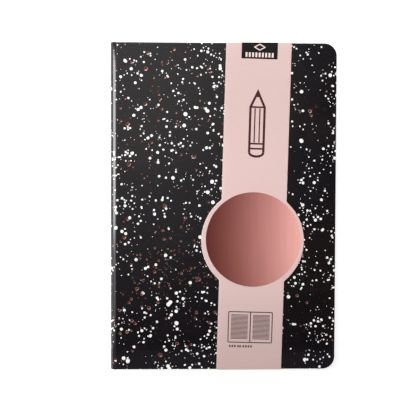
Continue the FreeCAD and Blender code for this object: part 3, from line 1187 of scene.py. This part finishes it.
# ----------------------------------------------------------------------- pages
LEAVES = 96
pages = Mesh()
prng = random.Random(77)
pitch = (block_hi[2] - block_lo[2]) / LEAVES
gather = [(prng.uniform(-0.12, 0.08), prng.uniform(-0.10, 0.10)) for _ in range(6)]
for i in range(LEAVES):
    g = gather[i * 6 // LEAVES]
    k = i % 16
    creep = 0.05 * (1 - abs(k - 7.5) / 7.5)              # inner leaves of a fold stand out a little
    dx = -0.12 + g[0] + creep + prng.uniform(-0.03, 0.03)
    dy = g[1] * 0.6 + prng.uniform(-0.025, 0.025)
    y_h = BY - 0.08 + prng.uniform(-0.02, 0.02)
    x1, r = BX + dx, BR
    z0 = block_lo[2] + i * pitch + (0.028 if k == 0 else 0.003)
    z1 = block_lo[2] + (i + 1) * pitch - (0.028 if k == 15 else 0.003)
    ring = [(block_lo[0] + 0.01, -y_h + dy)]
    for q in range(11):
        a = -math.pi / 2 + math.pi / 2 * q / 10.0
        ring.append((x1 - r + r * math.cos(a), -y_h + dy + r + r * math.sin(a)))
    for q in range(11):
        a = math.pi / 2 * q / 10.0
        ring.append((x1 - r + r * math.cos(a), y_h + dy - r + r * math.sin(a)))
    ring.append((block_lo[0] + 0.01, y_h + dy))
    prism(pages, [(x, y, z1) for x, y in ring], [(x, y, z0) for x, y in ring])
place(pages.build("pages", [M_PAGE], 30.0), "block", "page_paper", "text_block")

# ---------------------------------------------------------- head and tail bands


def sewn_band(lo, hi, s):
    m = Mesh()
    z0, z1 = lo[2] + 0.02, hi[2] - 0.02
    bead_r = 0.62
    xc = block_lo[0] + 0.5
    yc = s * (max(abs(lo[1]), abs(hi[1])) - 0.65)
    rings = []
    count = 120
    for i in range(count + 1):
        z = z0 + (z1 - z0) * i / count
        rib = abs(math.sin(math.pi * (z - z0) / 0.8))
        end = min(1.0, 0.55 + 0.45 * min(z - z0, z1 - z) / 0.25)
        r = (bead_r - 0.10 + 0.10 * rib ** 0.6) * end
        rings.append([(xc + r * math.cos(2 * math.pi * k / 18), yc + r * math.sin(2 * math.pi * k / 18), z)
                      for k in range(18)])
    n = len(rings)
    m.add([p for r_ in rings for p in r_],
          grid_faces(n, 18, close_m=True) + [tuple(range(18)), tuple(reversed(range((n - 1) * 18, n * 18)))])
    outward(m)
    tape = Mesh()
    x0, x1 = block_lo[0] - 0.29, block_lo[0] - 0.01
    ya, yb = sorted((s * 92.02, yc))
    ring = [(x0, ya), (x1, ya), (x1, yb), (x0, yb)]
    prism(tape, [(x, y, z1) for x, y in ring], [(x, y, z0) for x, y in ring])
    outward(tape)
    m.add(tape.v, tape.f)
    return m


place(sewn_band(head_lo, head_hi, 1.0).build("head_band_sewn", [M_CLOTH], 50.0), "block", "band_cloth", "head_band")
place(sewn_band(tail_lo, tail_hi, -1.0).build("tail_band_sewn", [M_CLOTH], 50.0), "block", "band_cloth", "tail_band")

# ------------------------------------------------------------------ paper band
ZT = band_hi[2] - 0.012           # card's face; the prints lie over it
ZB = band_lo[2] + 0.008
YE = band_hi[1] - 0.012
CARD = 0.232
FOLD = 0.45
SLOPE = math.tan(TILT)
HALF = 41.85 / 2.0 / math.cos(TILT)
FLAP = 35.0


def soft_max(a, b, k):
    h = max(k - abs(a - b), 0.0) / k
    return max(a, b) + h * h * k * 0.25


def strip_edges(y):
    xc = BAND_X0 + SLOPE * y
    left, right = xc - HALF, xc + HALF
    k = DISC_R ** 2 - (y - DISC[1]) ** 2
    if k > 0:
        w = math.sqrt(k)
        left = -soft_max(-left, -(DISC[0] - w), 1.3)
        right = soft_max(right, DISC[0] + w, 1.3)
    return left, right


def band_path():
    """Rows from the tail flap over the cover to the head flap: y, z, normal (y, z), x left, x right."""
    rows = []

    def flap(s):
        out = []
        y_in = YH - FLAP
        for q in range(9):
            out.append(y_in + 4.0 * (1 - math.cos(math.pi / 2 * q / 8.0)))
        out += list(np.linspace(y_in + 8, YE - FOLD, 8))
        res = []
        for y in out:
            xe = BAND_X0 + s * SLOPE * y
            taper = 3.0 * (YE - y) / (YE - y_in)
            k = (4.0 - (y - y_in))
            round_off = 4.0 - math.sqrt(max(0.0, 16.0 - k * k)) if k > 0 else 0.0
            res.append((s * y, ZB, 0.0, -1.0, xe - HALF + taper + round_off, xe + HALF - taper - round_off))
        return res

    def folds(s):
        res = []
        xe = BAND_X0 + s * SLOPE * YE
        for q in range(1, 8):
            a = math.pi / 2 * q / 8.0
            res.append((s * (YE - FOLD + FOLD * math.sin(a)), ZB + FOLD - FOLD * math.cos(a),
                        s * math.sin(a), -math.cos(a), xe - HALF, xe + HALF))
        for z in (ZB + FOLD, (ZB + ZT) / 2, ZT - FOLD):
            res.append((s * YE, z, s, 0.0, xe - HALF, xe + HALF))
        for q in range(1, 8):
            a = math.pi / 2 * (1 - q / 8.0)
            res.append((s * (YE - FOLD + FOLD * math.sin(a)), ZT - FOLD + FOLD * math.cos(a),
                        s * math.sin(a), math.cos(a), xe - HALF, xe + HALF))
        return res
    rows += flap(-1.0)
    rows += folds(-1.0)
    ys = set([-(YE - FOLD), YE - FOLD])
    ys |= set(np.linspace(-98, -58, 6)) | set(np.linspace(16, 98, 11))
    ys |= set(np.arange(-57.0, 14.0, 0.8))
    neck = math.sqrt(DISC_R ** 2 - HALF ** 2)
    for c in (DISC[1] - neck, DISC[1] + neck):
        ys |= set(np.arange(c - 2.4, c + 2.4, 0.2))
    last = None
    for y in sorted(ys):
        if last is not None and y - last < 0.05:
            continue
        last = y
        l, r = strip_edges(y)
        rows.append((y, ZT, 0.0, 1.0, l, r))
    rows += folds(1.0)[::-1]
    rows += flap(1.0)[::-1]
    return rows


def ribbon(rows, thickness, cols, out=0.0):
    """Closed sheet over rows of (y, z, ny, nz, left, right). Side walls get material 1."""
    m = Mesh()
    up, lo = [], []
    press = [(0.0, 0.14), (0.45, 0.075), (1.0, 0.02), (1.6, 0.0)]
    slack = [(0.0, 0.02), (0.45, 0.01), (1.0, 0.0), (1.6, 0.0)]
    for y, z, ny, nz, l, r in rows:
        marks_ = [(l + d, k) for d, k in press]
        marks_ += [(l + 1.6 + (r - l - 3.2) * c / (cols - 7.0), 0.0) for c in range(1, cols - 7)]
        marks_ += [(r - d, k) for d, k in slack[::-1]]
        assert len(marks_) == cols
        for x, k in marks_:
            up.append((x, y + ny * (out - k), z + nz * (out - k)))
            lo.append((x, y - ny * (thickness - out), z - nz * (thickness - out)))
    n = len(rows)
    g = grid_faces(n, cols)
    k = n * cols
    faces = [f for f in g] + [tuple(k + i for i in f[::-1]) for f in g]
    mats = [0] * len(faces)
    side = []
    for i in range(n - 1):
        a, b = i * cols, (i + 1) * cols
        side.append((a, a + k, b + k, b))
        a, b = a + cols - 1, b + cols - 1
        side.append((a, b, b + k, a + k))
    for c in range(cols - 1):
        side.append((c, c + 1, c + 1 + k, c + k))
        a = (n - 1) * cols
        side.append((a + c, a + c + k, a + c + 1 + k, a + c + 1))
    faces += side
    mats += [1] * len(side)
    m.add(up + lo, faces, mats)
    v = np.array(m.v)
    return outward(m)


rows = band_path()
place(ribbon(rows, CARD, 17).build("band_card", [M_CARD, M_EDGE], 40.0), "front_cover", "band_card", "paper_band")


def local(a, b):
    """A point on the band: a across it, b along it, from its middle line at y = 0."""
    return (BAND_X0 + a * math.cos(TILT) + b * math.sin(TILT), b * math.cos(TILT) - a * math.sin(TILT))


def printed(mesh, pts, z0, z1, mat=0):
    if area(pts) < 0:
        pts = pts[::-1]
    prism(mesh, [(x, y, z1) for x, y in pts], [(x, y, z0) for x, y in pts], mat)


def stroke(mesh, pts, w, closed, z0, z1):
    """Line of width w through local points, mitred at its corners."""
    n = len(pts)
    count = n if closed else n - 1

    def normal(i):
        a, b = pts[i % n], pts[(i + 1) % n]
        k = math.hypot(b[0] - a[0], b[1] - a[1])
        return (-(b[1] - a[1]) / k, (b[0] - a[0]) / k)

    def offset(i, seg):
        n1 = normal(seg)
        other = None
        if closed or 0 < i % n < n - 1:
            other = normal((i - 1) % n if seg == i % n else i % n)
        if other is None:
            return n1
        sx, sy = n1[0] + other[0], n1[1] + other[1]
        k = (sx * sx + sy * sy) / 2.0
        return (sx / k, sy / k) if k > 0.3 else n1
    for s in range(count):
        a, b = pts[s], pts[(s + 1) % n]
        oa, ob = offset(s, s), offset(s + 1, s)
        h = w / 2.0
        quad = [(a[0] + oa[0] * h, a[1] + oa[1] * h), (a[0] - oa[0] * h, a[1] - oa[1] * h),
                (b[0] - ob[0] * h, b[1] - ob[1] * h), (b[0] + ob[0] * h, b[1] + ob[1] * h)]
        printed(mesh, [local(*p) for p in quad], z0, z1)


# rose foil disc
foil = Mesh()
N = 128
ring = [(FOIL_C[0] + FOIL_R * math.cos(2 * math.pi * k / N), FOIL_C[1] + FOIL_R * math.sin(2 * math.pi * k / N))
        for k in range(N)]
inner = [(FOIL_C[0] + (FOIL_R - 0.12) * math.cos(2 * math.pi * k / N),
          FOIL_C[1] + (FOIL_R - 0.12) * math.sin(2 * math.pi * k / N)) for k in range(N)]
verts = [(x, y, ZT - 0.004) for x, y in ring] + [(x, y, ZT + 0.004) for x, y in ring] + [(x, y, ZT + 0.009) for x, y in inner]
faces = [tuple(reversed(range(N))), tuple(range(2 * N, 3 * N))]
for b in (0, N):
    faces += [(b + i, b + (i + 1) % N, b + N + (i + 1) % N, b + N + i) for i in range(N)]
foil.add(verts, faces)
place(foil.build("band_foil_disc", [M_DISC], 20.0), "front_cover", "band_card")

# plain black label at the head, carried over the fold
xe = BAND_X0 + SLOPE * YE
la, lb = -11.0, 12.1
label_rows = []
b0 = 94.75
pl, pr = local(la, b0), local(lb, b0)
y_fold = YE - FOLD


def label_row(k):
    yl = pl[1] + (y_fold - pl[1]) * k
    yr = pr[1] + (y_fold - pr[1]) * k
    xl = pl[0] + SLOPE * (yl - pl[1])
    xr = pr[0] + SLOPE * (yr - pr[1])
    return xl, yl, xr, yr


lab = Mesh()
COLS = 5
rows_pts = []
for k in (0.0, 0.25, 0.5, 0.75, 1.0):
    xl, yl, xr, yr = label_row(k)
    rows_pts.append(([(xl + (xr - xl) * c / (COLS - 1), yl + (yr - yl) * c / (COLS - 1), ZT) for c in range(COLS)], (0.0, 1.0)))
xl, yl, xr, yr = label_row(1.0)
for q in range(1, 9):
    a = math.pi / 2 * q / 8.0
    rows_pts.append(([(xl + (xr - xl) * c / (COLS - 1), y_fold + FOLD * math.sin(a), ZT - FOLD + FOLD * math.cos(a))
                      for c in range(COLS)], (math.sin(a), math.cos(a))))
rows_pts.append(([(xl + (xr - xl) * c / (COLS - 1), YE, ZB + FOLD) for c in range(COLS)], (1.0, 0.0)))
up = [(x, y + n_[0] * 0.005, z + n_[1] * 0.005) for r_, n_ in rows_pts for x, y, z in r_]
lo_ = [(x, y - n_[0] * 0.004, z - n_[1] * 0.004) for r_, n_ in rows_pts for x, y, z in r_]
n, k = len(rows_pts), len(up)
g = grid_faces(n, COLS)
faces = list(g) + [tuple(k + i for i in f[::-1]) for f in g]
for i in range(n - 1):
    a, b = i * COLS, (i + 1) * COLS
    faces += [(a, a + k, b + k, b), (a + COLS - 1, b + COLS - 1, b + COLS - 1 + k, a + COLS - 1 + k)]
for c in range(COLS - 1):
    a = (n - 1) * COLS
    faces += [(c, c + 1, c + 1 + k, c + k), (a + c, a + c + k, a + c + 1 + k, a + c + 1)]
lab.add(up + lo_, faces)
place(outward(lab).build("band_label", [M_LABEL], 40.0), "front_cover", "band_card")

# plain ornament on the label: an open diamond over a row of bars
marks = Mesh()
mid = (la + lb) / 2.0
za, zb = ZT + 0.003, ZT + 0.0095
stroke(marks, [(mid, 104.1), (mid + 3.3, 102.2), (mid, 100.3), (mid - 3.3, 102.2)], 0.62, True, za, zb)
for q in range(9):
    a = mid - 8.4 + 2.1 * q
    printed(marks, [local(a - 0.6, 95.85), local(a + 0.6, 95.85), local(a + 0.6, 98.75), local(a - 0.6, 98.75)], za, zb)
place(marks.build("band_label_marks", [M_MARK], None), "front_cover", "band_card")

# pencil pictogram along the band
pen = Mesh()
za, zb = ZT - 0.002, ZT + 0.0085
w, b_lo, b_hi, mid = 10.6, 31.6, 75.2, 0.35
h = w / 2.0 - 0.75
stroke(pen, [(mid - h, b_lo + 3.4), (mid - h, 64.0), (mid, b_hi - 1.4), (mid + h, 64.0), (mid + h, b_lo + 3.4)], 1.5, False, za, zb)
arc = [(mid - h * math.cos(math.pi * q / 12.0), b_lo + 3.4 - 2.6 * math.sin(math.pi * q / 12.0)) for q in range(13)]
stroke(pen, arc, 1.5, False, za, zb)
for b in (37.4, 40.6):
    stroke(pen, [(mid - h + 0.75, b), (mid + h - 0.75, b)], 1.1, False, za, zb)
stroke(pen, [(mid - h + 0.75, 64.0), (mid + h - 0.75, 64.0)], 1.1, False, za, zb)
for a in (-1.55, 1.55):
    stroke(pen, [(mid + a, 41.4), (mid + a, 63.2)], 0.8, False, za, zb)
printed(pen, [local(mid - 1.75, 70.4), local(mid + 1.75, 70.4), local(mid, b_hi - 0.4)], za, zb + 0.001)
place(pen.build("band_title_mark", [M_TITLE], None), "front_cover", "band_card")

# open ruled book
pic = Mesh()
mid_a, mid_b = 0.07, -77.75
fw, fh, rr = 28.9 - 0.66, 20.4 - 0.66, 0.6
pts = []
for cx, cy, a0 in ((1, 1, 0), (-1, 1, 90), (-1, -1, 180), (1, -1, 270)):
    for q in range(6):
        a = math.radians(a0 + 90 * q / 5.0)
        pts.append((mid_a + cx * (fw / 2 - rr) + rr * math.cos(a), mid_b + cy * (fh / 2 - rr) + rr * math.sin(a)))
stroke(pic, pts, 0.66, True, za, zb)
stroke(pic, [(mid_a, mid_b - fh / 2 + 0.33), (mid_a, mid_b + fh / 2 - 0.33)], 0.72, False, za, zb)
for c in (-7.0, 7.1):
    for q in range(20):
        b = mid_b + 7.95 - 0.813 * q
        stroke(pic, [(mid_a + c - 5.5, b), (mid_a + c + 5.5, b)], 0.455, False, za, zb)
place(pic.build("band_page_pictogram", [M_RULE], None), "front_cover", "band_card")

# row of small ticks under it
cap = Mesh()
for a in (-13.3, -11.65, -10.0, -7.9, -6.55, -4.5, -2.85, -1.2, 0.45):
    printed(cap, [local(a, -90.85), local(a + 1.1, -90.85), local(a + 1.1, -89.5), local(a, -89.5)], za, zb)
place(cap.build("band_small_rule", [M_RULE], None), "front_cover", "band_card")

# ------------------------------------------------------ CAD nodes that stay on
for node, mat in (("front_board", M_BOARD), ("back_board", M_BOARD), ("spine_board", M_BOARD), ("spine_lining", M_GAUZE)):
    ob = frame["nodes"][node]
    ob.data.materials.clear()
    ob.data.materials.append(mat)

# ------------------------------------------------------------------ the studio
floor_me = bpy.data.meshes.new("floor")
S = 6.0
floor_me.from_pydata([(-S, -S, 0), (S, -S, 0), (S, S, 0), (-S, S, 0)], [], [(0, 1, 2, 3)])
floor = bpy.data.objects.new("floor", floor_me)
floor.location = (0, 0, -0.00003)
scene.collection.objects.link(floor)
n = Nodes("pale_floor")
n.set(Base_Color=n.mix(n.noise(3.0, 2.0), (0.93, 0.93, 0.93), (0.95, 0.95, 0.95)), Roughness=0.9)
n.b.inputs["Specular IOR Level"].default_value = 0.1
n.b.inputs["Emission Color"].default_value = (1.0, 1.0, 1.0, 1.0)
n.b.inputs["Emission Strength"].default_value = 0.60
floor_me.materials.append(n.mat)

world = bpy.data.worlds.new("studio")
scene.world = world
world.use_nodes = True
wt = world.node_tree
wt.nodes.clear()
out = wt.nodes.new("ShaderNodeOutputWorld")
bg = wt.nodes.new("ShaderNodeBackground")
wt.links.new(bg.outputs[0], out.inputs[0])
tc = wt.nodes.new("ShaderNodeTexCoord")
sp = wt.nodes.new("ShaderNodeSeparateXYZ")
wt.links.new(tc.outputs["Generated"], sp.inputs[0])


def wmap(sock, a, b, lo, hi):
    m = wt.nodes.new("ShaderNodeMapRange")
    m.interpolation_type = "SMOOTHSTEP"
    wt.links.new(sock, m.inputs[0])
    for i, v in enumerate((a, b, lo, hi)):
        m.inputs[1 + i].default_value = v
    return m.outputs[0]


def wmath(op, a, b):
    m = wt.nodes.new("ShaderNodeMath")
    m.operation = op
    for s, v in zip(m.inputs, (a, b)):
        if isinstance(v, bpy.types.NodeSocket):
            wt.links.new(v, s)
        else:
            s.default_value = v
    return m.outputs[0]


gx = wmap(sp.outputs[0], 0.13, 0.02, 0.0, 1.0)         # brighter towards the spine side
gy = wmap(sp.outputs[1], -0.16, 0.07, 0.0, 1.0)        # brighter towards the head
zen = wmath("ADD", 0.02, wmath("MULTIPLY", wmath("MULTIPLY", gx, gy), 1.1))
round_ = wmap(sp.outputs[2], 0.95, 0.86, 0.0, 1.0)     # 0 overhead, 1 round it
dome = wmath("ADD", wmath("MULTIPLY", zen, wmath("SUBTRACT", 1.0, round_)), wmath("MULTIPLY", round_, 0.17))
low = wmap(sp.outputs[2], 0.26, 0.04, 0.0, 0.72)       # paler at the horizon
level = wmath("ADD", dome, low)
wt.links.new(level, bg.inputs["Strength"])
bg.inputs["Color"].default_value = (1.0, 0.99, 0.985, 1.0)


def softbox(name, at, look, size, size_y, watts, roll=0.0):
    d = bpy.data.lights.new(name, "AREA")
    d.shape = "RECTANGLE"
    d.size, d.size_y = size, size_y
    d.energy = watts
    o = bpy.data.objects.new(name, d)
    scene.collection.objects.link(o)
    o.location = at
    o.rotation_euler = (Vector(look) - Vector(at)).to_track_quat("-Z", "Y").to_euler()
    o.visible_camera = False
    return o


softbox("key", (-0.08, 0.42, 0.44), (0.0, 0.03, 0.0), 0.5, 0.3, 2.6)
softbox("left", (-0.65, 0.0790, 0.6150), (0.0, 0.0790, 0.6150), 0.292, 0.830, 7.8)
softbox("left_tail", (-0.65, -0.1335, 0.6150), (0.0, -0.1335, 0.6150), 0.133, 0.830, 0.5)

cam_data = bpy.data.cameras.new("camera")
cam_data.sensor_width = 36.0
cam_data.lens = 105.47
cam_data.clip_start, cam_data.clip_end = 0.01, 50.0
cam = bpy.data.objects.new("camera", cam_data)
scene.collection.objects.link(cam)
cam.location = (-0.04119, 0.03707, 0.79577)
cam.rotation_euler = (math.radians(-2.7748), math.radians(-2.2887), math.radians(0.1785))
scene.camera = cam
scene.view_settings.view_transform = "Standard"

bpy.context.view_layer.update()
